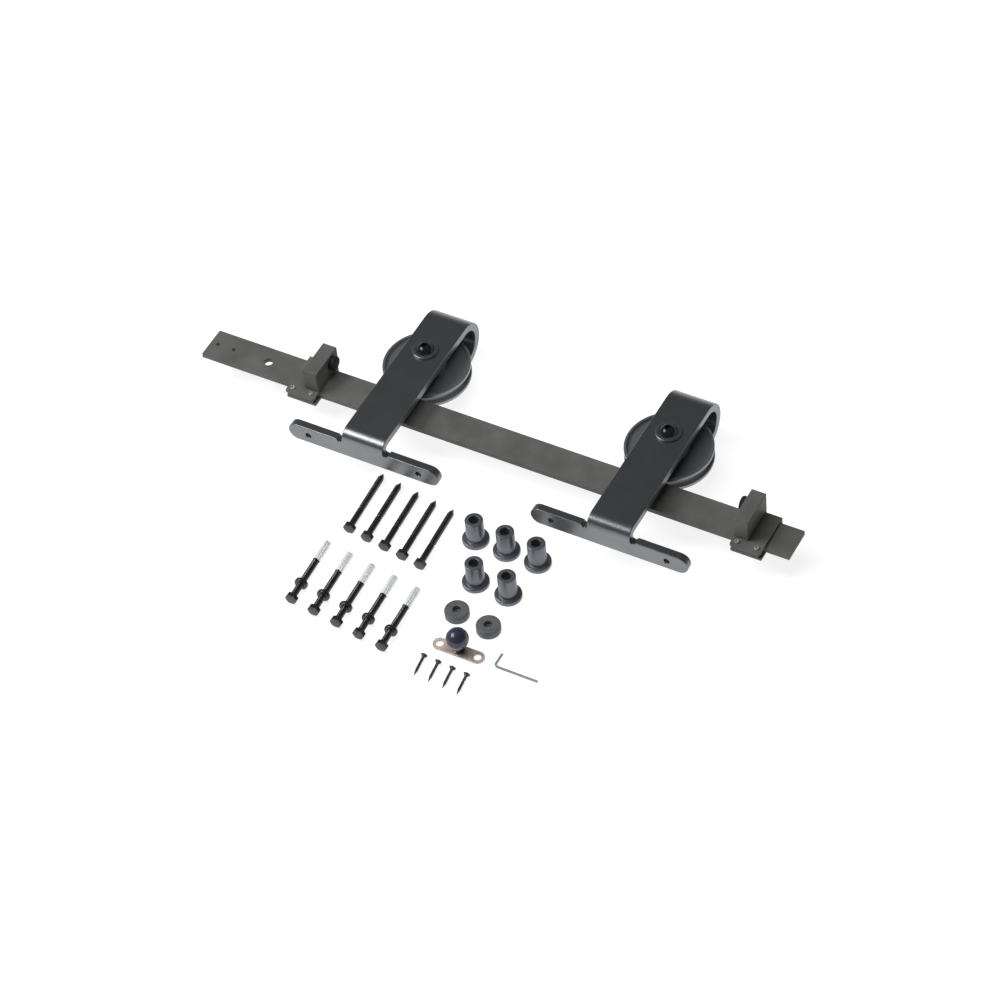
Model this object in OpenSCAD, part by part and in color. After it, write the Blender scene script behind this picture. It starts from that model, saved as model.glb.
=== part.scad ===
// Sliding barn door hardware: a flat track, two top-mount roller hangers, two end stops,
// and the loose fixings that go with them, laid out face up on a flat surface.
// +X runs along the track, +Y points up a wall and +Z points into the room.

/* [Track] */
// Length of the track
track_len = 696; // [680:1:730]
// Height of the track, edge to edge
track_w = 38; // [37:0.5:40]
// Thickness of the track
track_t = 6; // [5:0.5:6.5]
// Bore for the fixings that hold the track to the wall
track_bore_d = 10; // [8:0.5:12]
// Distance between neighbouring wall fixings
track_pitch = 420; // [400:5:430]
// Bore of the two small holes at the free end
track_pilot_d = 4.2; // [3:0.1:5]

/* [Hangers] */
// X of the left hanger
hanger_left_x = -115.5; // [-120:0.5:-110]
// X of the right hanger
hanger_right_x = 172.5; // [166:0.5:178]
// Width of the bent strap
strap_w = 49; // [44:0.5:51]
// Thickness of the bent strap
strap_t = 9; // [6:0.5:10]
// Depth of the strap's loop, outside to outside
loop_depth = 57; // [55:0.5:60]
// Length of the flange that screws to the top of the door
flange_len = 180; // [160:1:184]
// Depth of each flange arm
flange_arm_depth = 22; // [18:0.5:24]
// Distance between the two flange holes
flange_hole_pitch = 132; // [110:1:136]
// Bore of the flange holes
flange_hole_d = 6.5; // [5:0.5:9]
// Distance from the underside of the flange to the top of the loop
hanger_height = 213.5; // [208:0.5:216]

/* [Wheels] */
// Radius of the wheel at its flanges
wheel_r = 47.5; // [46:0.5:49]
// Radius at the bottom of the groove
groove_r = 43.5; // [42:0.5:44]
// Width of the wheel at the rim
wheel_w = 18; // [14:0.5:20]
// Diameter of the axle bolt
axle_d = 10; // [8:1:10]

/* [End stops] */
// X of the left end stop
stop_left_x = -219.5; // [-222:0.5:-216]
// X of the right end stop
stop_right_x = 303.5; // [295:0.5:310]
// Width of the clamp plates
stop_w = 35; // [30:1:37]
// Width of the post that stops the hanger
stop_post_w = 16.5; // [14:0.5:18]
// Height of the post above the face of the track
stop_post_h = 30; // [24:0.5:32]
// Diameter of the rubber bumper
bumper_d = 16; // [12:0.5:18]
// How far the bumper stands out of the post
bumper_t = 6; // [4:0.5:7]

/* [Wall fixings] */
// Number of wall fixings of each kind
fixing_count = 5; // [2:1:5]
// Length of a lag screw without its head
lag_len = 80; // [60:1:82]
// Diameter of a lag screw
lag_d = 7; // [6:0.1:8]
// Width across the flats of the bolt heads
hex_af = 12; // [11:0.1:13]
// Length of a sleeve anchor without its head
anchor_len = 81; // [65:1:83]
// Thread diameter of a sleeve anchor
anchor_d = 7.2; // [6:0.1:7.6]
// Outside diameter of the anchor's sleeve
sleeve_d = 8.8; // [8.6:0.1:9.6]
// Length of the anchor's sleeve
sleeve_len = 27; // [18:0.5:30]
// Height of a wall spacer
spacer_h = 32; // [28:0.5:34]
// Diameter of a wall spacer's body
spacer_d = 19.5; // [17:0.5:21]
// Diameter of a wall spacer's flange
spacer_flange_d = 29; // [25:0.5:30]
// Bore of a wall spacer
spacer_bore_d = 10.5; // [9:0.1:11]

/* [Door fixings] */
// Diameter of an anti-jump disc
disc_d = 26; // [24:0.5:27]
// Thickness of an anti-jump disc
disc_t = 9; // [7:0.5:10]
// Distance between the holes of the floor guide's plate
guide_hole_pitch = 43.5; // [40:0.5:45]
// Width of the floor guide's plate
guide_plate_w = 15; // [13:0.5:16]
// Diameter of the floor guide's ball
guide_ball_d = 24; // [20:0.5:24.5]
// Length of a wood screw
wood_screw_len = 26; // [20:0.5:27]
// Width across the flats of the hex key
key_af = 2.5; // [2:0.1:3]

/* [Hidden] */
$fn = 64;

STEEL = "#3f4245";
TRACK_GREY = "#63635f";
WHEEL_GREY = "#35383b";
BLACK = "#232426";
BRIGHT = "#c3c7c9";
BRONZE = "#9b8a80";
RUBBER = "#18191c";
BALL_BLUE = "#20233a";

// Heights above the surface that the kit lies on
nut_h = 5;
nut_af = 17;
loop_r = loop_depth / 2;
mid_z = nut_h + loop_r;
track_face_z = mid_z + track_t / 2;
track_back_z = mid_z - track_t / 2;
strap_face_z = mid_z + loop_r;
strap_back_z = mid_z - loop_r;
gap = 0.1;

// Places across the track
track_low_y = 60;
track_high_y = track_low_y + track_w;
track_mid_y = track_low_y + track_w / 2;
flange_y = 1;
top_y = flange_y + hanger_height;
arc_y = top_y - loop_r;
rolling_gap = 0.3;
axle_y = track_high_y + groove_r + rolling_gap;

// Strap and flange
bend_r = strap_t + 3;
bend_y = flange_y + bend_r;
bend_z = strap_face_z - bend_r;
arm_front_z = strap_face_z - 12;
arm_back_z = arm_front_z - flange_arm_depth;
arm_r = flange_arm_depth / 2;
arm_mid_z = arm_back_z + arm_r;
relief_r = 3;
loop_inside_r = loop_r - strap_t;

// Wheel, bearing and axle
groove_w = track_t + 1.4;
lip_inside_r = wheel_r - 3;
web_t = 10.8;
hub_top_r = 16;
hub_foot_r = 20;
hub_w = 19;
race_r = 13;
bearing_w = 8;
inner_race_r = 6.9;
ball_r = 2.38;
ball_pitch_r = 9;
ball_count = 9;
shield_t = 0.5;
bush_r = 7.5;
washer_r = 14;
washer_t = 2.5;
dome_r = 9.5;
dome_h = 7;
socket_af = 6;
hole_clearance = 0.4;

// End stops
stop_plate_t = 3;
stop_back_t = 4;
stop_low_y = track_low_y - 12.5;
stop_high_y = track_high_y + 4.5;
stop_web_y = stop_low_y + 3;
stop_post_low_y = track_low_y - 1;
stop_post_high_y = track_high_y + 6;
stop_face_z = track_face_z + gap + stop_plate_t;
stop_back_z = track_back_z - gap - stop_back_t;
clamp_pitch = 22;
clamp_y = track_low_y - 6;
clamp_d = 3;
clamp_head_d = 5.4;
clamp_head_h = 1.6;
bumper_y = track_low_y + 31;
bumper_z = track_face_z + 19;
bumper_stem_d = 5;

// Loose pieces: first place, step from one to the next, and turn
lag_first = [-95.7, -71.6];
lag_step = [22.75, -3.35];
lag_turn = 3.5;
lag_tip_len = 7;
hex_h = 5;
lag_shank_end = hex_h + lag_len - lag_tip_len;
anchor_first = [-102, -181.6];
anchor_step = [28.7, -4.1];
anchor_turn = 3.4;
anchor_washer_r = 7.2;
anchor_washer_t = 5;
anchor_washer_at = 17;
cone_len = 5;
cone_end_r = 4;
sleeve_gap = 0.05;
spacer_back_row = [29.9, -25.2];
spacer_back_step = [36.7, -0.85];
spacer_front_row = [57.3, -76.7];
spacer_front_step = [38.6, -1.5];
spacer_flange_t = 5;
disc_first = [59.9, -122.2];
disc_step = [38.6, -4.1];
disc_bore_d = 5.5;
disc_recess_d = 9;
disc_recess_h = 4.5;
guide_at = [84, -164];
guide_plate_t = 2.5;
guide_hole_d = 8;
guide_pin_d = 5;
guide_ball_z = 20.5;
guide_neck_d = 9.5;
guide_collar_d = 12;
guide_collar_t = 1.6;
guide_ball_floor_z = guide_plate_t + 0.3;
wood_first = [56, -185];
wood_step = [17, -1.27];
wood_turn = 4;
wood_d = 3.4;
wood_head_d = 7.4;
wood_tip_len = 6;
wood_shank_end = wood_screw_len - wood_tip_len;
key_at = [126.2, -166.3];
key_short = 17;
key_long = 49;
key_bend_r = 4;

// Thin tools shared by the pieces
module ring(outside_r, inside_r, h) {
    difference() {
        cylinder(r = outside_r, h = h);
        translate([0, 0, -1]) cylinder(r = inside_r, h = h + 2);
    }
}

module at_axle(x, z) {
    translate([x, axle_y, z]) children();
}

module hex_prism(af, h) {
    cylinder(d = af / cos(30), h = h, $fn = 6);
}

// Lays a piece that stands on Z down along +Y, turned about Z, so that it rests on the surface
// at two places along its axis, each given as [distance from its start, radius there]
module lay(place, turn, rest_a, rest_b) {
    slope = atan((rest_a[1] - rest_b[1]) / (rest_b[0] - rest_a[0]));
    axis_z = rest_a[0] * sin(slope) + rest_a[1] * cos(slope);
    translate([place[0], place[1], axis_z]) rotate([-90 - slope, 0, turn]) children();
}

module track() {
    first_bore_x = -track_len / 2 + 72.5;
    color(TRACK_GREY) difference() {
        translate([-track_len / 2, track_low_y, track_back_z]) cube([track_len, track_w, track_t]);
        for (i = [0, 1])
            translate([first_bore_x + i * track_pitch, track_mid_y, track_back_z - 1])
                cylinder(d = track_bore_d, h = track_t + 2);
        for (inset = [9, 29])
            translate([-track_len / 2 + inset, track_mid_y, track_back_z - 1])
                cylinder(d = track_pilot_d, h = track_t + 2);
    }
}

// Side outline of the strap: X is the row's Y, Y is the row's Z
module strap_outline() {
    back_end_y = axle_y - strap_w / 2;
    translate([bend_y, strap_face_z - strap_t]) square([arc_y - bend_y, strap_t]);
    translate([back_end_y, strap_back_z]) square([arc_y - back_end_y, strap_t]);
    intersection() {
        translate([arc_y, mid_z]) difference() {
            circle(r = loop_r, $fn = 96);
            circle(r = loop_inside_r, $fn = 96);
        }
        translate([arc_y, strap_back_z]) square([loop_r + 1, loop_depth]);
    }
    intersection() {
        translate([bend_y, bend_z]) difference() {
            circle(r = bend_r, $fn = 96);
            circle(r = bend_r - strap_t, $fn = 96);
        }
        translate([flange_y, bend_z]) square([bend_r, bend_r]);
    }
    translate([flange_y, arm_back_z]) square([strap_t, bend_z - arm_back_z]);
}

// Outline of the two flange arms: X is the row's X, Y is the row's Z
module arms_outline() {
    reach = flange_len / 2 - arm_r;
    difference() {
        union() {
            translate([-reach, arm_back_z]) square([2 * reach, flange_arm_depth]);
            for (side = [-1, 1])
                translate([side * reach, arm_mid_z]) circle(r = arm_r);
        }
        for (side = [-1, 1])
            translate([side * (strap_w / 2 + relief_r), arm_front_z]) circle(r = relief_r);
    }
}

module hanger_strap(x) {
    color(STEEL) translate([x, 0, 0]) difference() {
        union() {
            intersection() {
                translate([-strap_w / 2, 0, 0])
                    rotate([90, 0, 90]) linear_extrude(strap_w) strap_outline();
                back_leg_trim();
            }
            translate([0, flange_y + strap_t, 0])
                rotate([90, 0, 0]) linear_extrude(strap_t) arms_outline();
        }
        at_axle(0, -1) cylinder(d = axle_d + hole_clearance, h = strap_face_z + 2);
        for (side = [-1, 1])
            translate([side * flange_hole_pitch / 2, flange_y - 1, arm_mid_z])
                rotate([-90, 0, 0]) cylinder(d = flange_hole_d, h = strap_t + 2);
    }
}

// Rounds the lower end of the back leg about the axle and leaves the rest of the strap alone
module back_leg_trim() {
    far = 400;
    at_axle(0, -1) cylinder(r = strap_w / 2, h = mid_z, $fn = 96);
    translate([-far / 2, axle_y, -1]) cube([far, far, far]);
    translate([-far / 2, -far / 2, mid_z - 1]) cube([far, far, far]);
    translate([-far / 2, flange_y - 1, -1]) cube([far, strap_t + 2, far]);
}

module hanger_wheel(x) {
    half_w = wheel_w / 2;
    half_web = web_t / 2;
    half_hub = hub_w / 2;
    color(WHEEL_GREY) at_axle(x, mid_z) rotate_extrude($fn = 128) difference() {
        polygon([
            [race_r, -half_hub], [hub_top_r, -half_hub], [hub_foot_r, -half_web],
            [lip_inside_r, -half_web], [lip_inside_r, -half_w], [wheel_r, -half_w],
            [wheel_r, half_w], [lip_inside_r, half_w], [lip_inside_r, half_web],
            [hub_foot_r, half_web], [hub_top_r, half_hub], [race_r, half_hub]
        ]);
        polygon([
            [groove_r, -track_t / 2 - 0.4], [groove_r, track_t / 2 + 0.4],
            [wheel_r + 1, groove_w / 2 + 1.1], [wheel_r + 1, -groove_w / 2 - 1.1]
        ]);
    }
}

module bearing_outer_race(x) {
    color(BRIGHT) at_axle(x, mid_z) rotate_extrude() difference() {
        translate([ball_pitch_r + ball_r - 0.8, -bearing_w / 2])
            square([race_r - ball_pitch_r - ball_r + 0.8, bearing_w]);
        translate([ball_pitch_r, 0]) circle(r = ball_r + 0.05);
        for (side = [-1, 1])
            translate([ball_pitch_r + ball_r - 1, side * (bearing_w / 2 - shield_t) - shield_t])
                square([1.2, 2 * shield_t]);
    }
}

module bearing_inner_race(x) {
    color(BRIGHT) at_axle(x, mid_z) rotate_extrude() difference() {
        translate([axle_d / 2 + 0.03, -bearing_w / 2])
            square([inner_race_r - axle_d / 2 + 0.4, bearing_w]);
        translate([ball_pitch_r, 0]) circle(r = ball_r + 0.05);
    }
}

module bearing_balls(x) {
    color(BRIGHT) at_axle(x, mid_z)
        for (i = [0 : ball_count - 1])
            rotate([0, 0, i * 360 / ball_count]) translate([ball_pitch_r, 0, 0]) sphere(r = ball_r);
}

module bearing_cage(x) {
    half_t = 0.6;
    crown_z = 2.95;
    color(BRONZE) at_axle(x, mid_z) difference() {
        translate([0, 0, -1.6]) ring(ball_pitch_r + half_t, ball_pitch_r - half_t, 1.6 + crown_z);
        for (i = [0 : ball_count - 1])
            rotate([0, 0, i * 360 / ball_count])
                translate([ball_pitch_r, 0, 0]) sphere(r = ball_r + 0.06);
    }
}

module bearing_shields(x) {
    color(BRIGHT)
        for (side = [-1, 1])
            at_axle(x, mid_z + side * (bearing_w / 2 - shield_t) - shield_t / 2)
                ring(ball_pitch_r + ball_r + 0.2, inner_race_r + 0.7, shield_t);
}

module hanger_bushes(x) {
    inside = loop_depth / 2 - strap_t;
    color(BLACK)
        for (side = [0, 1])
            at_axle(x, side ? mid_z + bearing_w / 2 : mid_z - inside)
                ring(bush_r, axle_d / 2 + 0.05, inside - bearing_w / 2);
}

module axle_bolt(x) {
    dome_ball_r = (dome_r * dome_r + dome_h * dome_h) / (2 * dome_h);
    head_z = strap_face_z + washer_t;
    color(BLACK) at_axle(x, 0) difference() {
        union() {
            cylinder(d = axle_d, h = head_z + 1);
            intersection() {
                translate([0, 0, head_z + dome_h - dome_ball_r]) sphere(r = dome_ball_r, $fn = 96);
                translate([0, 0, head_z]) cylinder(r = dome_r, h = dome_h + 1);
            }
        }
        translate([0, 0, head_z + dome_h - 4]) hex_prism(socket_af, 10);
    }
}

module axle_washer(x) {
    color(BLACK) at_axle(x, strap_face_z) ring(washer_r, axle_d / 2 + 0.1, washer_t);
}

module axle_nut(x) {
    color(BLACK) at_axle(x, 0) difference() {
        intersection() {
            hex_prism(nut_af, nut_h);
            translate([0, 0, -0.01]) cylinder(d1 = nut_af, d2 = nut_af + 14, h = 7);
        }
        translate([0, 0, -1]) cylinder(d = axle_d, h = nut_h + 2);
    }
}

// Inner says which way the track's middle lies: 1 for +X, -1 for -X
module stop_body(x, inner) {
    post_x = inner > 0 ? stop_w / 2 - stop_post_w : -stop_w / 2;
    corner_r = 3;
    color(TRACK_GREY) translate([x, 0, 0]) difference() {
        union() {
            translate([-stop_w / 2, stop_low_y + corner_r, track_face_z + gap])
                cube([stop_w, stop_high_y - stop_low_y - corner_r, stop_plate_t]);
            translate([-stop_w / 2 + corner_r, stop_low_y, track_face_z + gap])
                cube([stop_w - 2 * corner_r, corner_r + 1, stop_plate_t]);
            for (side = [-1, 1])
                translate([side * (stop_w / 2 - corner_r), stop_low_y + corner_r, track_face_z + gap])
                    cylinder(r = corner_r, h = stop_plate_t);
            translate([-stop_w / 2, track_high_y + gap, track_back_z - gap])
                cube([stop_w, stop_high_y - track_high_y - gap, track_t + 2 * gap + 1]);
            translate([-stop_w / 2 + corner_r, stop_web_y, track_back_z - gap])
                cube([stop_w - 2 * corner_r, track_low_y - gap - stop_web_y, track_t + 2 * gap + 1]);
            translate([post_x, stop_post_low_y, stop_face_z - 1])
                cube([
                    stop_post_w, stop_post_high_y - stop_post_low_y, stop_post_h - stop_plate_t - gap + 1
                ]);
        }
        for (side = [-1, 1])
            translate([side * clamp_pitch / 2, clamp_y, track_back_z - 2])
                cylinder(d = clamp_d + 0.1, h = track_t + 10);
        translate([inner * (stop_w / 2 - 5), bumper_y, bumper_z])
            rotate([0, inner * 90, 0]) cylinder(d = bumper_stem_d, h = 6);
    }
}

module stop_back_plate(x) {
    color(TRACK_GREY) translate([x, 0, 0]) difference() {
        translate([-stop_w / 2, stop_web_y, stop_back_z])
            cube([stop_w, stop_high_y - stop_web_y, stop_back_t]);
        for (side = [-1, 1])
            translate([side * clamp_pitch / 2, clamp_y, stop_back_z - 1])
                cylinder(d = clamp_d, h = stop_back_t + 2);
    }
}

module stop_clamp_screws(x) {
    color(BRIGHT)
        for (side = [-1, 1])
            translate([x + side * clamp_pitch / 2, clamp_y, 0]) difference() {
                union() {
                    translate([0, 0, stop_back_z]) cylinder(d = clamp_d, h = stop_face_z - stop_back_z + 1);
                    translate([0, 0, stop_face_z]) cylinder(d = clamp_head_d, h = clamp_head_h);
                }
                translate([0, 0, stop_face_z + 0.6]) hex_prism(2.5, 5);
            }
}

module stop_bumper(x, inner) {
    face_x = x + inner * stop_w / 2;
    color(RUBBER) translate([face_x, bumper_y, bumper_z]) rotate([0, inner * 90, 0]) union() {
        cylinder(d = bumper_d, h = bumper_t - 1);
        cylinder(d = bumper_d - 2, h = bumper_t);
        translate([0, 0, -5]) cylinder(d = bumper_stem_d, h = 6);
    }
}

module lag_screw() {
    color(BLACK) {
        hex_prism(hex_af, hex_h);
        cylinder(d = lag_d, h = lag_shank_end);
        translate([0, 0, lag_shank_end]) cylinder(d1 = lag_d, d2 = 1, h = lag_tip_len);
    }
}

module lag_screws() {
    for (i = [0 : fixing_count - 1])
        lay(lag_first + i * lag_step, lag_turn, [hex_h, hex_af / 2], [lag_shank_end, lag_d / 2])
            lag_screw();
}

module each_anchor() {
    washer_far = hex_h + anchor_washer_at + anchor_washer_t;
    for (i = [0 : fixing_count - 1])
        lay(anchor_first + i * anchor_step, anchor_turn, [washer_far, anchor_washer_r],
            [hex_h + anchor_len, sleeve_d / 2]) children();
}

module anchor_bolts() {
    shank_end = hex_h + anchor_len - cone_len;
    color(BLACK) each_anchor() {
        hex_prism(hex_af, hex_h);
        cylinder(d = anchor_d, h = shank_end + 1);
        translate([0, 0, shank_end]) cylinder(r1 = anchor_d / 2, r2 = cone_end_r, h = cone_len);
    }
}

module anchor_washers() {
    color(BLACK) each_anchor()
        translate([0, 0, hex_h + anchor_washer_at])
            ring(anchor_washer_r, anchor_d / 2 + 0.3, anchor_washer_t);
}

module anchor_sleeves() {
    end = hex_h + anchor_len;
    color(BRIGHT) each_anchor() difference() {
        translate([0, 0, end - sleeve_len])
            ring(sleeve_d / 2, anchor_d / 2 + sleeve_gap, sleeve_len);
        translate([0, 0, end - cone_len])
            cylinder(r1 = anchor_d / 2 + sleeve_gap, r2 = cone_end_r + sleeve_gap, h = cone_len + 0.01);
    }
}

module wall_spacer() {
    rim = 0.8;
    difference() {
        union() {
            cylinder(d = spacer_flange_d, h = spacer_flange_t - 1);
            cylinder(d = spacer_flange_d - 2, h = spacer_flange_t);
            cylinder(d = spacer_d, h = spacer_h - rim);
            translate([0, 0, spacer_h - rim]) cylinder(d1 = spacer_d, d2 = spacer_d - 2 * rim, h = rim);
        }
        translate([0, 0, -1]) cylinder(d = spacer_bore_d, h = spacer_h + 2);
    }
}

module wall_spacers() {
    back_count = 3;
    color(STEEL) {
        for (i = [0 : back_count - 1])
            translate(spacer_back_row + i * spacer_back_step) wall_spacer();
        for (i = [0 : fixing_count - back_count - 1])
            translate(spacer_front_row + i * spacer_front_step) wall_spacer();
    }
}

module anti_jump_discs() {
    edge = 1;
    color(STEEL)
        for (i = [0, 1])
            translate(disc_first + i * disc_step) difference() {
                union() {
                    cylinder(d = disc_d, h = disc_t - edge);
                    translate([0, 0, disc_t - edge]) cylinder(d1 = disc_d, d2 = disc_d - 2 * edge, h = edge);
                }
                translate([0, 0, -1]) cylinder(d = disc_bore_d, h = disc_t + 2);
                translate([0, 0, disc_t - disc_recess_h]) cylinder(d = disc_recess_d, h = disc_recess_h + 1);
            }
}

module guide_plate() {
    color(BRONZE) translate(guide_at) difference() {
        union() {
            translate([-guide_hole_pitch / 2, -guide_plate_w / 2, 0])
                cube([guide_hole_pitch, guide_plate_w, guide_plate_t]);
            for (side = [-1, 1])
                translate([side * guide_hole_pitch / 2, 0, 0]) cylinder(d = guide_plate_w, h = guide_plate_t);
        }
        for (side = [-1, 1])
            translate([side * guide_hole_pitch / 2, 0, -1]) cylinder(d = guide_hole_d, h = guide_plate_t + 2);
        translate([0, 0, -1]) cylinder(d = guide_pin_d, h = guide_plate_t + 2);
    }
}

module guide_pin() {
    color(BRIGHT) translate(guide_at)
        cylinder(d = guide_pin_d, h = guide_ball_z);
}

module guide_ball() {
    color(BALL_BLUE) translate(guide_at) difference() {
        union() {
            translate([0, 0, guide_ball_z]) sphere(d = guide_ball_d, $fn = 96);
            translate([0, 0, guide_ball_floor_z]) cylinder(d = guide_collar_d, h = guide_collar_t);
            translate([0, 0, guide_ball_floor_z]) cylinder(d = guide_neck_d, h = guide_ball_z - guide_ball_floor_z - 8);
        }
        cylinder(d = guide_pin_d + 0.1, h = guide_ball_z + 0.2);
        translate([0, 0, -20 + guide_ball_floor_z]) cylinder(d = 40, h = 20);
    }
}

module wood_screw() {
    head_h = 2.6;
    color(BLACK) difference() {
        union() {
            cylinder(d1 = wood_head_d, d2 = wood_d, h = head_h);
            cylinder(d = wood_d, h = wood_shank_end);
            translate([0, 0, wood_shank_end]) cylinder(d1 = wood_d, d2 = 0.6, h = wood_tip_len);
        }
        for (turn = [0, 90])
            rotate([0, 0, turn]) translate([-2, -0.45, -1]) cube([4, 0.9, 2.4]);
    }
}

module wood_screws() {
    for (i = [0 : 3])
        lay(wood_first + i * wood_step, 180 + wood_turn, [0, wood_head_d / 2],
            [wood_shank_end, wood_d / 2]) wood_screw();
}

module hex_key() {
    centre_z = key_af / 2;
    color(BRIGHT) translate([key_at[0], key_at[1], centre_z]) {
        translate([0, key_bend_r, 0]) rotate([-90, 0, 0]) hex_prism(key_af, key_short - key_bend_r);
        translate([key_bend_r, 0, 0]) rotate([0, 90, 0]) rotate([0, 0, 30])
            hex_prism(key_af, key_long - key_bend_r);
        translate([key_bend_r, key_bend_r, 0]) intersection() {
            rotate_extrude() translate([key_bend_r, 0]) circle(d = key_af / cos(30), $fn = 6);
            translate([-key_bend_r * 2, -key_bend_r * 2, -key_af])
                cube([key_bend_r * 2, key_bend_r * 2, 2 * key_af]);
        }
    }
}

track();
hanger_strap(hanger_left_x);  // hanger_left_strap
axle_bolt(hanger_left_x);  // hanger_left_axle_bolt
axle_washer(hanger_left_x);  // hanger_left_washer
axle_nut(hanger_left_x);  // hanger_left_nut
hanger_bushes(hanger_left_x);  // hanger_left_bushes
hanger_wheel(hanger_left_x);  // hanger_left_wheel
bearing_outer_race(hanger_left_x);  // hanger_left_outer_race
bearing_inner_race(hanger_left_x);  // hanger_left_inner_race
bearing_balls(hanger_left_x);  // hanger_left_bearing_balls
bearing_cage(hanger_left_x);  // hanger_left_bearing_cage
bearing_shields(hanger_left_x);  // hanger_left_bearing_shields
hanger_strap(hanger_right_x);  // hanger_right_strap
axle_bolt(hanger_right_x);  // hanger_right_axle_bolt
axle_washer(hanger_right_x);  // hanger_right_washer
axle_nut(hanger_right_x);  // hanger_right_nut
hanger_bushes(hanger_right_x);  // hanger_right_bushes
hanger_wheel(hanger_right_x);  // hanger_right_wheel
bearing_outer_race(hanger_right_x);  // hanger_right_outer_race
bearing_inner_race(hanger_right_x);  // hanger_right_inner_race
bearing_balls(hanger_right_x);  // hanger_right_bearing_balls
bearing_cage(hanger_right_x);  // hanger_right_bearing_cage
bearing_shields(hanger_right_x);  // hanger_right_bearing_shields
stop_body(stop_left_x, 1);  // stop_left_body
stop_back_plate(stop_left_x);  // stop_left_back_plate
stop_clamp_screws(stop_left_x);  // stop_left_clamp_screws
stop_bumper(stop_left_x, 1);  // stop_left_bumper
stop_body(stop_right_x, -1);  // stop_right_body
stop_back_plate(stop_right_x);  // stop_right_back_plate
stop_clamp_screws(stop_right_x);  // stop_right_clamp_screws
stop_bumper(stop_right_x, -1);  // stop_right_bumper
lag_screws();
anchor_bolts();
anchor_washers();
anchor_sleeves();
wall_spacers();
anti_jump_discs();
guide_plate();
guide_pin();
guide_ball();
wood_screws();
hex_key();
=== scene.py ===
"""Looks for the sliding barn door hardware: black steel laid out face up on a white surface."""

import math

import bmesh
import bpy
import numpy as np
from mathutils import Matrix, Vector


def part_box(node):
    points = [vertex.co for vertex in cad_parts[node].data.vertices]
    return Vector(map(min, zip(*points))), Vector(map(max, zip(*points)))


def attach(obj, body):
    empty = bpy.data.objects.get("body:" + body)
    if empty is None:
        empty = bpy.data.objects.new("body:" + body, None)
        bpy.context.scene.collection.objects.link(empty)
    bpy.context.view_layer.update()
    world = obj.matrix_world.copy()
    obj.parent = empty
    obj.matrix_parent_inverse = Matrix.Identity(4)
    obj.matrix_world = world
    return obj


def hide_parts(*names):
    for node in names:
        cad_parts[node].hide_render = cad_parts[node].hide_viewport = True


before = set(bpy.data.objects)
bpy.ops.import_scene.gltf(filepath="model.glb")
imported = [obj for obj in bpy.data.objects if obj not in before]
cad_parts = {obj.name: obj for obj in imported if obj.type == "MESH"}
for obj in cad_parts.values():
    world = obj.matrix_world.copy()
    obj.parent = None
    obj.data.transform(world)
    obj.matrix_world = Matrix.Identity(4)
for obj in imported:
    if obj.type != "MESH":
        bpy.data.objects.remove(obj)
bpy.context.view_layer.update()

MM = 0.001
SIDES = ("left", "right")

# ---------------------------------------------------------------- materials

COAT_ROUGHNESS = 0.12
NOISE_LOW, NOISE_HIGH = 0.3, 0.7  # nearly all of a noise lies between these


def shader(name, colour, roughness, metallic=0.0, specular=0.5, coat=0.0):
    """A new material and the handles that the detail functions add to."""
    material = bpy.data.materials.new(name)
    material.use_nodes = True
    tree = material.node_tree
    surface = tree.nodes["Principled BSDF"]
    surface.inputs["Base Color"].default_value = (*colour, 1)
    surface.inputs["Roughness"].default_value = roughness
    surface.inputs["Metallic"].default_value = metallic
    surface.inputs["Specular IOR Level"].default_value = specular
    surface.inputs["Coat Weight"].default_value = coat
    surface.inputs["Coat Roughness"].default_value = COAT_ROUGHNESS
    return material, tree, surface


def noise(tree, scale, detail=4.0, stretch=(1, 1, 1)):
    """A noise in the shared frame, with features about 1 / scale metres across."""
    place = tree.nodes.new("ShaderNodeTexCoord")
    mapping = tree.nodes.new("ShaderNodeMapping")
    mapping.inputs["Scale"].default_value = stretch
    texture = tree.nodes.new("ShaderNodeTexNoise")
    texture.inputs["Scale"].default_value = scale
    texture.inputs["Detail"].default_value = detail
    tree.links.new(place.outputs["Object"], mapping.inputs["Vector"])
    tree.links.new(mapping.outputs["Vector"], texture.inputs["Vector"])
    return texture.outputs["Fac"]


def between(tree, factor, low, high, start=NOISE_LOW, end=NOISE_HIGH):
    """factor from start to end becomes low to high."""
    node = tree.nodes.new("ShaderNodeMapRange")
    node.inputs["From Min"].default_value = start
    node.inputs["From Max"].default_value = end
    node.inputs["To Min"].default_value = low
    node.inputs["To Max"].default_value = high
    tree.links.new(factor, node.inputs["Value"])
    return node.outputs["Result"]


def vary_colour(tree, surface, factor, dark, light):
    """The base colour runs from dark to light as the noise rises."""
    ramp = tree.nodes.new("ShaderNodeValToRGB")
    ramp.color_ramp.elements[0].position = NOISE_LOW
    ramp.color_ramp.elements[0].color = (*dark, 1)
    ramp.color_ramp.elements[1].position = NOISE_HIGH
    ramp.color_ramp.elements[1].color = (*light, 1)
    tree.links.new(factor, ramp.inputs["Fac"])
    tree.links.new(ramp.outputs["Color"], surface.inputs["Base Color"])


def grain(tree, surface, height, depth):
    """Bump of the given depth in metres, from a height between 0 and 1."""
    bump = tree.nodes.new("ShaderNodeBump")
    bump.inputs["Strength"].default_value = 1.0
    bump.inputs["Distance"].default_value = depth
    tree.links.new(height, bump.inputs["Height"])
    tree.links.new(bump.outputs["Normal"], surface.inputs["Normal"])


def scaled(colour, factor):
    return tuple(channel * factor for channel in colour)


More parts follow.
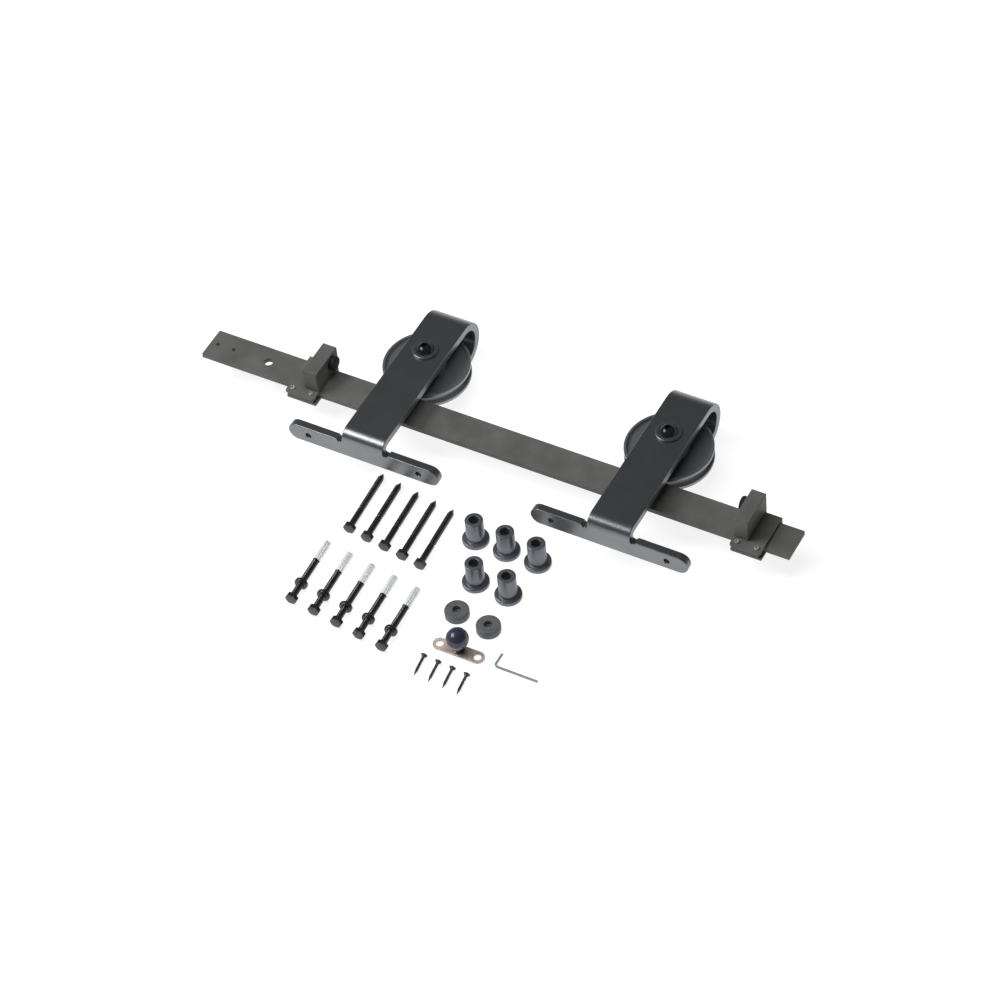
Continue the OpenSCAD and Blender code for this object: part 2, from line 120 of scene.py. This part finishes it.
def powder_coat(
    name, colour, roughness, pebble, depth=0.00003, specular=0.4, spread=0.16, metallic=0.0
):
    """Baked powder coat: an orange peel 1 / pebble metres across, and a slow drift in tone."""
    material, tree, surface = shader(name, colour, roughness, metallic, specular=specular)
    drift = noise(tree, 38, detail=5)
    vary_colour(tree, surface, drift, scaled(colour, 1 - spread), scaled(colour, 1 + spread))
    peel = noise(tree, pebble, detail=3)
    gloss = between(tree, peel, roughness - 0.04, roughness + 0.05)
    tree.links.new(gloss, surface.inputs["Roughness"])
    grain(tree, surface, peel, depth)
    return material


def plated(
    name, colour, roughness, metallic=1.0, stretch=(1, 1, 1), depth=0.000008, spread=0.18
):
    """Bare or plated metal: fine drawn lines, patches of duller plating."""
    material, tree, surface = shader(name, colour, roughness, metallic)
    patches = noise(tree, 160, detail=6)
    vary_colour(tree, surface, patches, scaled(colour, 1 - spread), scaled(colour, 1 + spread))
    lines = noise(tree, 420, detail=6, stretch=stretch)
    gloss = between(tree, lines, roughness - 0.07, roughness + 0.12)
    tree.links.new(gloss, surface.inputs["Roughness"])
    grain(tree, surface, lines, depth)
    return material


def moulded(name, colour, roughness, specular=0.5, depth=0.00002, coat=0.0):
    """Moulded plastic or rubber: a fine spark-eroded grain from the mould."""
    material, tree, surface = shader(name, colour, roughness, specular=specular, coat=coat)
    bloom = noise(tree, 120, detail=5)
    vary_colour(tree, surface, bloom, scaled(colour, 1 - 0.12), scaled(colour, 1 + 0.12))
    skin = noise(tree, 1400, detail=2)
    gloss = between(tree, skin, roughness - 0.05, roughness + 0.06)
    tree.links.new(gloss, surface.inputs["Roughness"])
    grain(tree, surface, skin, depth)
    return material


def make_materials():
    """One finish for each of the record's material slots."""
    return {
        "track_steel": powder_coat(
            "track_steel", (0.108, 0.110, 0.103), 0.55, pebble=700, specular=0.2
        ),
        "hanger_steel": powder_coat(
            "hanger_steel", (0.205, 0.217, 0.226), 0.31, pebble=1000, depth=0.000016,
            metallic=0.88, spread=0.05
        ),
        # Painted light: the wheels wear the hangers' black paint, given a lighter base colour here
        # to lift the shade that the strap's loop casts on them.
        "wheel_steel": powder_coat(
            "wheel_steel", (0.250, 0.262, 0.272), 0.31, pebble=1300, depth=0.000012,
            metallic=0.70, spread=0.05
        ),
        "black_bolt": powder_coat(
            "black_bolt", (0.010, 0.011, 0.012), 0.16, pebble=1500, depth=0.00001
        ),
        "black_fixing": plated("black_fixing", (0.080, 0.080, 0.087), 0.30, metallic=0.85),
        "spacer_steel": powder_coat(
            "spacer_steel", (0.155, 0.162, 0.184), 0.30, pebble=1200, metallic=0.6
        ),
        "disc_plastic": moulded("disc_plastic", (0.100, 0.104, 0.110), 0.50),
        "bearing_steel": plated("bearing_steel", (0.60, 0.61, 0.63), 0.16),
        "cage_brass": plated("cage_brass", (0.60, 0.45, 0.22), 0.30),
        "bright_steel": plated(
            "bright_steel", (0.93, 0.95, 0.95), 0.36, metallic=0.3, depth=0.0000004, spread=0.05
        ),
        "wood_screw_steel": plated("wood_screw_steel", (0.080, 0.080, 0.085), 0.42, metallic=0.5),
        "key_steel": plated("key_steel", (0.38, 0.38, 0.39), 0.38, metallic=0.5, stretch=(1, 6, 6)),
        "bumper_rubber": moulded("bumper_rubber", (0.012, 0.012, 0.014), 0.72, specular=0.3),
        "guide_bronze": plated(
            "guide_bronze", (0.64, 0.51, 0.44), 0.36, metallic=0.3, stretch=(1, 8, 8)
        ),
        "guide_ball": moulded("guide_ball", (0.028, 0.031, 0.064), 0.30, coat=0.3, depth=0.000004),
    }


MATERIALS = make_materials()

# ---------------------------------------------------------------- mesh tools


def smooth(mesh, angle=38):
    """Smooth shading, with edges kept sharp where faces meet at more than angle."""
    mesh.polygons.foreach_set("use_smooth", [True] * len(mesh.polygons))
    mesh.set_sharp_from_angle(angle=math.radians(angle))


def piece(name, bm, body, slot, replaced, weighted=False):
    """Turns bm into a finished piece of the object."""
    bmesh.ops.recalc_face_normals(bm, faces=bm.faces)
    mesh = bpy.data.meshes.new(name)
    bm.to_mesh(mesh)
    bm.free()
    mesh.materials.append(MATERIALS[slot])
    smooth(mesh)
    made = bpy.data.objects.new(name, mesh)
    bpy.context.scene.collection.objects.link(made)
    if weighted:
        made.modifiers.new("flat_faces", "WEIGHTED_NORMAL").keep_sharp = True
    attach(made, body)
    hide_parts(*replaced)
    return made


def joined(shapes):
    """One bmesh out of several, each with its own placing matrix."""
    whole = bmesh.new()
    for shape, place in shapes:
        shape.transform(place)
        mesh = bpy.data.meshes.new("part")
        shape.to_mesh(mesh)
        shape.free()
        whole.from_mesh(mesh)
        bpy.data.meshes.remove(mesh)
    return whole


def spin(profile, segments, closed=False):
    """A profile of (radius, height) in mm, turned about Z.

    Either number may be a function of the angles. A closed profile makes a ring. An open one is
    shut at both ends, at a point or with a flat face."""
    angles = np.arange(segments) * 2 * math.pi / segments
    bm = bmesh.new()
    rings = []
    for radius, height in profile:
        r = radius(angles) if callable(radius) else np.full(segments, float(radius))
        z = height(angles) if callable(height) else np.full(segments, float(height))
        if not callable(radius) and radius == 0:
            rings.append([bm.verts.new((0, 0, z[0] * MM))] * segments)
            continue
        points = np.stack([r * np.cos(angles), r * np.sin(angles), z], 1) * MM
        rings.append([bm.verts.new(p) for p in points])
    pairs = list(zip(rings, rings[1:]))
    if closed:
        pairs.append((rings[-1], rings[0]))
    for low, high in pairs:
        for i in range(segments):
            j = (i + 1) % segments
            corners = [low[i], low[j], high[j], high[i]]
            face = sorted(set(corners), key=corners.index)
            if len(face) > 2:
                bm.faces.new(face)
    if not closed:
        for end in (rings[0], rings[-1]):
            if end[0] is not end[1]:
                bm.faces.new(end)
    return bm


def rounded(corners, steps=4):
    """A closed outline of (x, y, radius) corners, with an arc of steps at each round one."""
    outline = []
    count = len(corners)
    for i, (x, y, radius) in enumerate(corners):
        here = np.array([x, y], float)
        if not radius:
            outline.append(tuple(here))
            continue
        back = np.array(corners[i - 1][:2], float) - here
        ahead = np.array(corners[(i + 1) % count][:2], float) - here
        back /= np.linalg.norm(back)
        ahead /= np.linalg.norm(ahead)
        half = math.acos(np.clip(back @ ahead, -1, 1)) / 2
        middle = here + (back + ahead) / np.linalg.norm(back + ahead) * radius / math.sin(half)
        start = here + back * radius / math.tan(half) - middle
        end = here + ahead * radius / math.tan(half) - middle
        turn = math.pi - 2 * half
        for step in range(steps + 1):
            t = step / steps
            arm = (math.sin((1 - t) * turn) * start + math.sin(t * turn) * end) / math.sin(turn)
            outline.append(tuple(middle + arm))
    return outline


def hexagon(across_flats):
    """The radius of a hexagon as a function of the angle, with a corner at angle 0."""
    def radius(angles):
        turned = (angles + math.pi / 6) % (math.pi / 3) - math.pi / 6
        return across_flats / 2 / np.cos(math.pi / 6 - np.abs(turned))
    return radius


def cad_shape(node):
    """A copy of the CAD node's mesh, with its doubled points joined."""
    bm = bmesh.new()
    bm.from_mesh(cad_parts[node].data)
    bmesh.ops.remove_doubles(bm, verts=bm.verts, dist=2e-6)
    return bm


def softened(node, width, segments=3, angle=32):
    """The CAD node's own shape, its edges sharper than angle broken to a width in mm."""
    bm = cad_shape(node)
    bmesh.ops.dissolve_limit(bm, angle_limit=math.radians(0.4), verts=bm.verts, edges=bm.edges)
    sharp = [
        edge for edge in bm.edges
        if len(edge.link_faces) == 2 and edge.calc_face_angle() > math.radians(angle)
    ]
    bmesh.ops.bevel(
        bm, geom=sharp, offset=width * MM, segments=segments, profile=0.5, affect="EDGES",
        clamp_overlap=False
    )
    return bm


def islands(node):
    """The separate solids of a CAD node in order along X, each as a sorted array of its points."""
    bm = cad_shape(node)
    unseen = set(bm.verts)
    found = []
    while unseen:
        stack = [unseen.pop()]
        member = []
        while stack:
            vertex = stack.pop()
            member.append(vertex.co[:])
            for edge in vertex.link_edges:
                other = edge.other_vert(vertex)
                if other in unseen:
                    unseen.remove(other)
                    stack.append(other)
        found.append(np.array(sorted(member)))
    bm.free()
    return sorted(found, key=lambda points: tuple(points.mean(0)))


def upright(points):
    """Placing matrix for a shape turned about Z: the middle of the points, at their lowest."""
    low, high = points.min(0), points.max(0)
    return Matrix.Translation(((low[0] + high[0]) / 2, (low[1] + high[1]) / 2, low[2]))


def lying(points, start):
    """Placing matrix for a shape turned about Z that lies down.

    Its axis is the points' own long one, its z = 0 end the one towards start, and its angle 0 the
    point furthest from the axis there."""
    middle = points.mean(0)
    axis = np.linalg.eigh(np.cov((points - middle).T))[1][:, -1]
    if axis @ np.array(start, float) > 0:
        axis = -axis
    along = (points - middle) @ axis
    origin = middle + axis * along.min()
    out = points - origin - np.outer((points - origin) @ axis, axis)
    near = along < along.min() + 1e-4
    reach = np.linalg.norm(out, axis=1) * near
    across = out[reach.argmax()] / reach.max()
    basis = np.stack([across, np.cross(axis, across), axis], 1)
    return Matrix.Translation(origin) @ Matrix(basis.tolist()).to_4x4()


def length_of(points, place):
    """How far the points reach along the placed axis, in mm."""
    inverse = np.array(place.inverted())
    return float((points @ inverse[2, :3] + inverse[2, 3]).max()) / MM


def height_of(points):
    """How far the points reach along Z, in mm."""
    return float(points[:, 2].max() - points[:, 2].min()) / MM


def radius_of(points):
    """Half of how far the points reach along X, in mm."""
    return float(points[:, 0].max() - points[:, 0].min()) / MM / 2


# ---------------------------------------------------------------- threads and heads


def thread(core, outer, pitch, start, end, tip_end=None, steps=8, crest=0.42):
    """Rings of a threaded shank, all in mm: a ridge that winds round a core and fades in at start.

    steps is the number of rings in one pitch, and crest the ridge's share of the pitch. With
    tip_end, core and ridge taper from end to a point there."""
    rings = []
    tip_core = 0.3
    stop = tip_end if tip_end else end
    count = int((stop - start) / pitch * steps)
    for i in range(count + 1):
        z = start + (stop - start) * i / count
        shrink = max(0.0, (stop - z) / (stop - end)) if tip_end and z > end else 1.0
        core_here = tip_core + (core - tip_core) * shrink
        ridge = (outer - core) * min(1.0, (z - start) / pitch)
        ridge *= 0.25 + 0.75 * shrink if tip_end else 1.0
        ridge *= min(1.0, (stop - z) / (pitch * 0.5))

        def radius(angles, z=z, core_here=core_here, ridge=ridge):
            phase = (z / pitch - angles / (2 * math.pi)) % 1.0
            height = np.clip(1 - np.abs(phase - 0.5) * 2 / crest, 0, 1)
            return core_here + ridge * np.minimum(1.0, height * 1.4)

        rings.append((radius, z))
    return rings


def hex_head(across_flats, height):
    """Rings of a chamfered hexagonal head, from its outer face at z = 0 to its seat."""
    side = hexagon(across_flats)
    face = across_flats / 2 * 0.94

    def slope(angles):
        return (side(angles) - face) * 0.5

    def seat(angles):
        return height - 0.25 * slope(angles)

    return [(0, 0), (face, 0), (side, slope), (side, seat), (face, height)]


def socketed(outer, across_flats, depth, top):
    """The rings of a head, closed by a chamfered hexagonal socket in its top face."""
    side = hexagon(across_flats)
    chamfer, chamfer_depth, drill_point = 0.25, 0.3, 0.8

    def lead(angles):
        return side(angles) + chamfer

    return [
        *outer, (lead, top), (side, top - chamfer_depth), (side, top - depth),
        (0, top - depth - drill_point),
    ]


# ---------------------------------------------------------------- track and straps


def track():
    piece("track_bar", softened("track", 0.5), "track", "track_steel", ["track"], weighted=True)


def strap(side):
    node = f"hanger_{side}_strap"
    bm = softened(node, 0.9)
    piece(f"{node}_body", bm, f"hanger_{side}", "hanger_steel", [node], weighted=True)


# ---------------------------------------------------------------- wheel set


def axle_place(side, z=0.0):
    """The hanger's axle line, at a height in mm above the surface."""
    low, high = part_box(f"hanger_{side}_axle_bolt")
    return Matrix.Translation(((low.x + high.x) / 2, (low.y + high.y) / 2, z * MM))


def wheel(side):
    """A turned wheel: sloping hub, thick web, and a thin lip either side of the track's groove."""
    node = f"hanger_{side}_wheel"
    low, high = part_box(node)
    hub = (high.z - low.z) / MM / 2
    rim = (high.x - low.x) / MM / 2
    bore, web, lip = 13.0, 5.4, hub - 0.5
    groove, groove_half, mouth_half = 43.5, 3.4, 4.8
    face = [
        (bore, hub, 0.4), (bore + 3, hub, 4.5), (bore + 7.5, web, 6.0),
        (rim - 3.7, web, 1.5), (rim - 3, lip, 0.7), (rim, lip, 1.0),
        (rim, mouth_half, 0.5), (groove, groove_half, 0.5),
    ]
    mirrored = [(r, -z, radius) for r, z, radius in reversed(face)]
    bm = spin(rounded(face + mirrored, steps=6), segments=160, closed=True)
    bm.transform(axle_place(side, (low.z + high.z) / MM / 2))
    piece(f"{node}_turned", bm, f"wheel_{side}", "wheel_steel", [node])


def bearing(side):
    """A deep-groove ball bearing: two races, nine balls in a crown cage, two shields."""
    bodies = {"outer_race": "wheel", "inner_race": "hanger", "bearing_shields": "wheel"}
    for part, body in bodies.items():
        node = f"hanger_{side}_{part}"
        bm = softened(node, 0.15, segments=2)
        piece(f"{node}_ground", bm, f"{body}_{side}", "bearing_steel", [node], weighted=True)
    cage = f"hanger_{side}_bearing_cage"
    bm = softened(cage, 0.08, segments=1)
    piece(f"{cage}_pressed", bm, f"ball_set_{side}", "cage_brass", [cage])
    balls = []
    ball_node = f"hanger_{side}_bearing_balls"
    for points in islands(ball_node):
        low, high = points.min(0), points.max(0)
        radius = height_of(points) / 2
        arc = [(radius * math.sin(a), -radius * math.cos(a)) for a in np.linspace(0, math.pi, 17)]
        arc[0], arc[-1] = (0, -radius), (0, radius)
        balls.append((spin(arc, segments=32), Matrix.Translation((low + high) / 2)))
    piece(f"{ball_node}_lapped", joined(balls), f"ball_set_{side}", "bearing_steel", [ball_node])


def axle(side):
    """Domed socket bolt, ring washer, spacing bushes and the nut at the back."""
    body = f"hanger_{side}"
    bolt_node = f"hanger_{side}_axle_bolt"
    washer_low, washer_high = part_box(f"hanger_{side}_washer")
    seat = washer_high.z / MM
    shank, dome_h, dome_r, flat_r = 5.0, 7.0, 9.5, 3.9
    ball_r = (dome_r ** 2 + dome_h ** 2) / (2 * dome_h)
    centre = seat + dome_h - ball_r
    angles = np.linspace(math.asin(dome_r / ball_r) * 0.985, math.asin(flat_r / ball_r), 14)
    dome = [(ball_r * math.sin(a), centre + ball_r * math.cos(a)) for a in angles]
    outer = [
        (0, 0.3), (shank - 0.7, 0.3), (shank, 1.0), (shank, seat),
        (dome_r - 0.3, seat), (dome_r, seat + 0.3), *dome,
    ]
    top = dome[-1][1]
    bm = spin(socketed(outer, 6.0, 4.0, top), segments=96)
    bm.transform(axle_place(side))
    piece(f"{bolt_node}_domed", bm, body, "black_bolt", [bolt_node])

    node = f"hanger_{side}_washer"
    height = (washer_high.z - washer_low.z) / MM
    radius = (washer_high.x - washer_low.x) / MM / 2
    bore = shank + 0.1
    corners = [(bore, 0, 0.2), (radius, 0, 0.3), (radius, height, 1.4), (bore, height, 0.3)]
    bm = spin(rounded(corners), segments=96, closed=True)
    bm.transform(axle_place(side, washer_low.z / MM))
    piece(f"{node}_ring", bm, body, "hanger_steel", [node])

    node = f"hanger_{side}_nut"
    bm = softened(node, 0.25, segments=2)
    piece(f"{node}_hex", bm, body, "black_bolt", [node], weighted=True)

    node = f"hanger_{side}_bushes"
    bushes = []
    bore = shank + 0.05
    for points in islands(node):
        height, radius = height_of(points), radius_of(points)
        corners = [(bore, 0, 0.2), (radius, 0, 0.6), (radius, height, 0.6), (bore, height, 0.2)]
        bushes.append((spin(rounded(corners), segments=48, closed=True), upright(points)))
    piece(f"{node}_turned", joined(bushes), body, "black_bolt", [node])


# ---------------------------------------------------------------- end stops


def stop(side):
    """Clamp plate with its post, back plate, two socket screws and a rubber bumper."""
    body = f"stop_{side}"
    for part, width in (("body", 0.7), ("back_plate", 0.5)):
        node = f"stop_{side}_{part}"
        bm = softened(node, width)
        piece(f"{node}_steel", bm, body, "track_steel", [node], weighted=True)

    node = f"stop_{side}_clamp_screws"
    screws = []
    head_r, head_h, shank = 2.7, 1.6, 1.5
    for points in islands(node):
        height = height_of(points)
        seat = height - head_h
        outer = [
            (0, 0), (shank - 0.3, 0), (shank, 0.3), (shank, seat), (head_r, seat),
            (head_r, height - 0.5), (head_r - 0.15, height - 0.15), (head_r - 0.5, height),
        ]
        bm = spin(socketed(outer, 2.5, 1.0, height), segments=48)
        screws.append((bm, upright(points)))
    made = piece(f"{node}_socket", joined(screws), body, "bright_steel", [node])
    made.data.materials[0] = MATERIALS["key_steel"]  # as dull as the key

    node = f"stop_{side}_bumper"
    low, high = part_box(node)
    radius = (high.z - low.z) / MM / 2
    stem, stem_r, proud, edge_r = 5.0, 2.5, 6.0, 1.6
    corners = [
        (0, -stem), (stem_r, -stem), (stem_r, 0), (radius - 0.4, 0), (radius, 0.5),
        (radius, proud - edge_r),
    ]
    crown = [
        (radius - edge_r * (1 - math.cos(a)), proud - edge_r + edge_r * math.sin(a))
        for a in np.linspace(0, math.pi / 2, 7)
    ]
    bm = spin([*corners, *crown[1:], (0, proud)], segments=64)
    inner = 1 if side == "left" else -1
    face_x = high.x - proud * MM if inner > 0 else low.x + proud * MM
    place = Matrix.Translation((face_x, (low.y + high.y) / 2, (low.z + high.z) / 2))
    bm.transform(place @ Matrix.Rotation(inner * math.pi / 2, 4, "Y"))
    piece(f"{node}_rubber", bm, body, "bumper_rubber", [node])


# ---------------------------------------------------------------- loose fixings

HEX_AF, HEX_H = 12, 5  # head of the lag screws and anchors: across flats, height


def lag_screws():
    """Hex-headed lag screws with a plain neck, a coarse thread and a gimlet point."""
    screws = []
    for points in islands("lag_screws"):
        place = lying(points, start=(0, -1, 0))
        end = length_of(points, place)
        shank, neck_end, tip = 3.45, 30, 7
        rings = [
            *hex_head(HEX_AF, HEX_H), (shank + 0.5, HEX_H), (shank, HEX_H + 0.6), (shank, neck_end),
            *thread(2.8, 3.6, 2.6, neck_end + 0.4, end - tip, tip_end=end - 0.2), (0, end),
        ]
        screws.append((spin(rings, segments=36), place))
    piece("lag_screws_threaded", joined(screws), "track", "black_fixing", ["lag_screws"])


def slit_sleeve(place, length):
    """Rings of a rolled sleeve that flares to its far end, its slit turned up and slightly to +X."""
    upward = place.to_3x3().inverted() @ Vector((0.45, 0, 1))
    slit = math.atan2(upward.y, upward.x)
    slit_depth, slit_half, slit_slope = 0.6, 0.17, 0.03  # the last two in radians
    inside = 3.6

    def outside(full):
        def radius(angles):
            off = np.abs((angles - slit + math.pi) % (2 * math.pi) - math.pi)
            return full - slit_depth * np.clip((slit_half - off) / slit_slope, 0, 1)
        return radius

    return [
        (inside, 0), (outside(4.25), 0), (outside(4.3), 0.2), (outside(4.4), length - 0.2),
        (outside(4.3), length), (inside + 0.05, length), (inside, length - 5),
    ]


def anchors():
    """Sleeve anchors: a threaded stud with a hex head, a loose washer, a slit sleeve and a cone."""
    studs, washers, sleeves = [], [], []
    stud_r, sleeve_len, cone_len = 3.2, 27, 5
    washer_at, washer_t, washer_r, washer_bore = 22, 5, 7.2, 3.8
    for points in islands("anchor_bolts"):
        place = lying(points, start=(0, -1, 0))
        end = length_of(points, place)
        sleeve_start = end - sleeve_len
        rings = [
            *hex_head(HEX_AF, HEX_H), (3.5, HEX_H),
            *thread(3.1, 3.6, 1.4, HEX_H + 0.3, sleeve_start - 0.4, steps=6, crest=0.9),
            (stud_r, sleeve_start), (stud_r, end - cone_len), (3.7, end - 0.5), (3.5, end),
            (0, end),
        ]
        studs.append((spin(rings, segments=32), place))
        corners = [
            (washer_bore, 0, 0.2), (washer_r, 0, 1.6), (washer_r, washer_t, 1.6),
            (washer_bore, washer_t, 0.2),
        ]
        washers.append((
            spin(rounded(corners), segments=40, closed=True),
            place @ Matrix.Translation((0, 0, washer_at * MM)),
        ))
        sleeves.append((
            spin(slit_sleeve(place, sleeve_len), segments=120, closed=True),
            place @ Matrix.Translation((0, 0, sleeve_start * MM)),
        ))
    piece("anchor_bolts_threaded", joined(studs), "track", "black_fixing", ["anchor_bolts"])
    piece("anchor_washers_pressed", joined(washers), "track", "black_fixing", ["anchor_washers"])
    piece("anchor_sleeves_rolled", joined(sleeves), "track", "bright_steel", ["anchor_sleeves"])


def wall_spacers():
    """Turned spacers that stand the track off the wall, flange down."""
    shapes = []
    body, bore, rim = 9.75, 5.25, 5.0
    for points in islands("wall_spacers"):
        height, flange = height_of(points), radius_of(points)
        corners = [
            (bore, 0, 0.4), (flange, 0, 0.5), (flange, rim, 1.3), (body, rim, 0.8),
            (body, height, 0.9), (bore, height, 0.6),
        ]
        bm = spin(rounded(corners, steps=5), segments=96, closed=True)
        shapes.append((bm, upright(points)))
    piece("wall_spacers_turned", joined(shapes), "track", "spacer_steel", ["wall_spacers"])


def anti_jump_discs():
    """Discs that screw to the top of the door under the track, with a counterbored hole."""
    shapes = []
    bore, counterbore, counterbore_depth = 2.75, 4.5, 4.5
    for points in islands("anti_jump_discs"):
        height, radius = height_of(points), radius_of(points)
        ledge = height - counterbore_depth
        corners = [
            (bore, 0, 0.2), (radius, 0, 0.6), (radius, height, 1.4),
            (counterbore, height, 0.5), (counterbore, ledge, 0.2), (bore, ledge, 0.2),
        ]
        bm = spin(rounded(corners, steps=5), segments=96, closed=True)
        shapes.append((bm, upright(points)))
    piece("anti_jump_discs_moulded", joined(shapes), "track", "disc_plastic", ["anti_jump_discs"])


def floor_guide():
    """Ball on a pin, on an obround plate that screws to the floor."""
    piece(
        "guide_plate_stamped", softened("guide_plate", 0.5), "track", "guide_bronze",
        ["guide_plate"], weighted=True,
    )

    low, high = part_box("guide_ball")
    pin_low, pin_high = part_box("guide_pin")
    place = Matrix.Translation(((low.x + high.x) / 2, (low.y + high.y) / 2, 0))
    ball = (high.x - low.x) / MM / 2
    centre = high.z / MM - ball
    base = low.z / MM
    pin_top = pin_high.z / MM
    neck, collar, chamfer, bore = 4.75, 6.0, 0.3, 2.6
    start = math.pi - math.asin(neck / ball)
    arc = [(ball * math.sin(a), centre + ball * math.cos(a)) for a in np.linspace(start, 0, 40)]
    rings = [
        (0, pin_top + 0.1), (bore, pin_top + 0.1), (bore, base),
        (collar - chamfer, base), (collar, base + 0.3), (collar, base + 1.2),
        (collar - chamfer, base + 1.5), (neck + 0.2, base + 1.7), (neck, base + 1.9),
        *arc[:-1], (0, centre + ball),
    ]
    bm = spin(rings, segments=96)
    bm.transform(place)
    piece("guide_ball_turned", bm, "guide_roller", "guide_ball", ["guide_ball"])

    radius = (pin_high.x - pin_low.x) / MM / 2
    rings = [
        (0, 0.1), (radius - 0.4, 0.1), (radius, 0.5), (radius, pin_top - 0.4),
        (radius - 0.4, pin_top), (0, pin_top),
    ]
    bm = spin(rings, segments=40)
    bm.transform(place)
    piece("guide_pin_riveted", bm, "track", "bright_steel", ["guide_pin"])


def cross_recess(reach, arm_half):
    """The radius of a cross-shaped drive hole as a function of the angle."""
    def radius(angles):
        turned = angles % (math.pi / 2)
        off = np.minimum(turned, math.pi / 2 - turned)
        return np.minimum(reach, arm_half / np.maximum(np.sin(off), 1e-3))
    return radius


def wood_screws():
    """Countersunk screws with a cross recess, for the floor guide."""
    screws = []
    cross = cross_recess(1.9, 0.5)
    head_r, shank, head_end, neck_end, tip = 3.7, 1.6, 2.7, 8.0, 6
    for points in islands("wood_screws"):
        place = lying(points, start=(0, 1, 0))
        end = length_of(points, place)
        rings = [
            (0, 1.6), (cross, 1.3), (cross, 0.05), (2.3, 0.0),
            (head_r - 0.15, 0.0), (head_r, 0.15), (head_r - 0.15, 0.4),
            (shank + 0.15, head_end), (shank, head_end + 0.5), (shank, neck_end),
            *thread(1.15, 1.75, 1.4, neck_end + 0.2, end - tip, tip_end=end - 0.15), (0, end),
        ]
        screws.append((spin(rings, segments=48), place))
    piece("wood_screws_threaded", joined(screws), "track", "wood_screw_steel", ["wood_screws"])


def hex_key():
    bm = softened("hex_key", 0.2, segments=2, angle=35)
    piece("hex_key_bent", bm, "track", "key_steel", ["hex_key"], weighted=True)


# ---------------------------------------------------------------- studio

FLOOR_HALF = 6
FLOOR_GLOW = 0.84  # lifts the floor to white without more light on the object


def floor():
    bm = bmesh.new()
    bmesh.ops.create_grid(bm, x_segments=1, y_segments=1, size=FLOOR_HALF)
    mesh = bpy.data.meshes.new("studio_floor")
    bm.to_mesh(mesh)
    bm.free()
    made = bpy.data.objects.new("studio_floor", mesh)
    bpy.context.scene.collection.objects.link(made)
    material, tree, surface = shader("white_sweep", (0.34, 0.34, 0.34), 0.9, specular=0.1)
    surface.inputs["Emission Color"].default_value = (1, 1, 1, 1)
    surface.inputs["Emission Strength"].default_value = FLOOR_GLOW
    vary_colour(tree, surface, noise(tree, 3), (0.33, 0.33, 0.33), (0.35, 0.35, 0.35))
    mesh.materials.append(material)


def area_light(name, azimuth, elevation, distance, size, power):
    """A soft box that faces the origin. Azimuth 0 stands towards -Y and 90 towards +X."""
    a, e = math.radians(azimuth), math.radians(elevation)
    back = Vector((math.sin(a) * math.cos(e), -math.cos(a) * math.cos(e), math.sin(e)))
    data = bpy.data.lights.new(name, "AREA")
    data.shape = "RECTANGLE"
    data.size, data.size_y = size
    data.energy = power
    made = bpy.data.objects.new(name, data)
    bpy.context.scene.collection.objects.link(made)
    made.location = back * distance
    made.rotation_euler = (-back).to_track_quat("-Z", "Y").to_euler()
    return made


def backdrop_glow():
    """A dim room whose back wall is bright just above the floor."""
    world = bpy.data.worlds.new("studio")
    world.use_nodes = True
    tree = world.node_tree
    place = tree.nodes.new("ShaderNodeTexCoord")
    axes = tree.nodes.new("ShaderNodeSeparateXYZ")
    tree.links.new(place.outputs["Generated"], axes.inputs["Vector"])
    behind = between(tree, axes.outputs["Y"], 0, 1, start=0.1, end=0.7)
    low = between(tree, axes.outputs["Z"], 1, 0, start=0.03, end=0.38)
    both = tree.nodes.new("ShaderNodeMath")
    both.operation = "MULTIPLY"
    tree.links.new(behind, both.inputs[0])
    tree.links.new(low, both.inputs[1])
    background = tree.nodes["Background"]
    background.inputs["Color"].default_value = (1, 1, 1, 1)
    strength = between(tree, both.outputs["Value"], 0.07, 0.40, start=0, end=1)
    tree.links.new(strength, background.inputs["Strength"])
    bpy.context.scene.world = world


def studio():
    """White floor, one soft key light from the left, and an overhead fill that gives no glint."""
    floor()
    backdrop_glow()
    area_light("key_left", -62, 50, 2.2, (1.3, 0.9), 34)
    fill = area_light("top_box", 0, 89, 1.0, (0.7, 0.5), 5)
    fill.location.xy = (0.02, 0.08)
    fill.visible_glossy = False
    bpy.context.scene.view_settings.view_transform = "Standard"


def camera():
    """A long lens from the front right, turned slightly about its own axis."""
    azimuth, elevation, roll = (math.radians(x) for x in (32.3116, 48.4399, -6.0017))
    place = (1.450313, -2.216735, 3.003694)
    back = Vector((
        math.sin(azimuth) * math.cos(elevation),
        -math.cos(azimuth) * math.cos(elevation),
        math.sin(elevation),
    ))
    level = Vector((math.cos(azimuth), math.sin(azimuth), 0))
    upward = back.cross(level)
    right = math.cos(roll) * level + math.sin(roll) * upward
    top = back.cross(right)
    data = bpy.data.cameras.new("camera")
    data.sensor_width = 36
    data.lens = 138.1636
    made = bpy.data.objects.new("camera", data)
    bpy.context.scene.collection.objects.link(made)
    basis = Matrix((right, top, back)).transposed()
    made.matrix_world = Matrix.Translation(place) @ basis.to_4x4()
    bpy.context.scene.camera = made


track()
for hanger in SIDES:
    strap(hanger)
    wheel(hanger)
    bearing(hanger)
    axle(hanger)
for end in SIDES:
    stop(end)
lag_screws()
anchors()
wall_spacers()
anti_jump_discs()
floor_guide()
wood_screws()
hex_key()
studio()
camera()
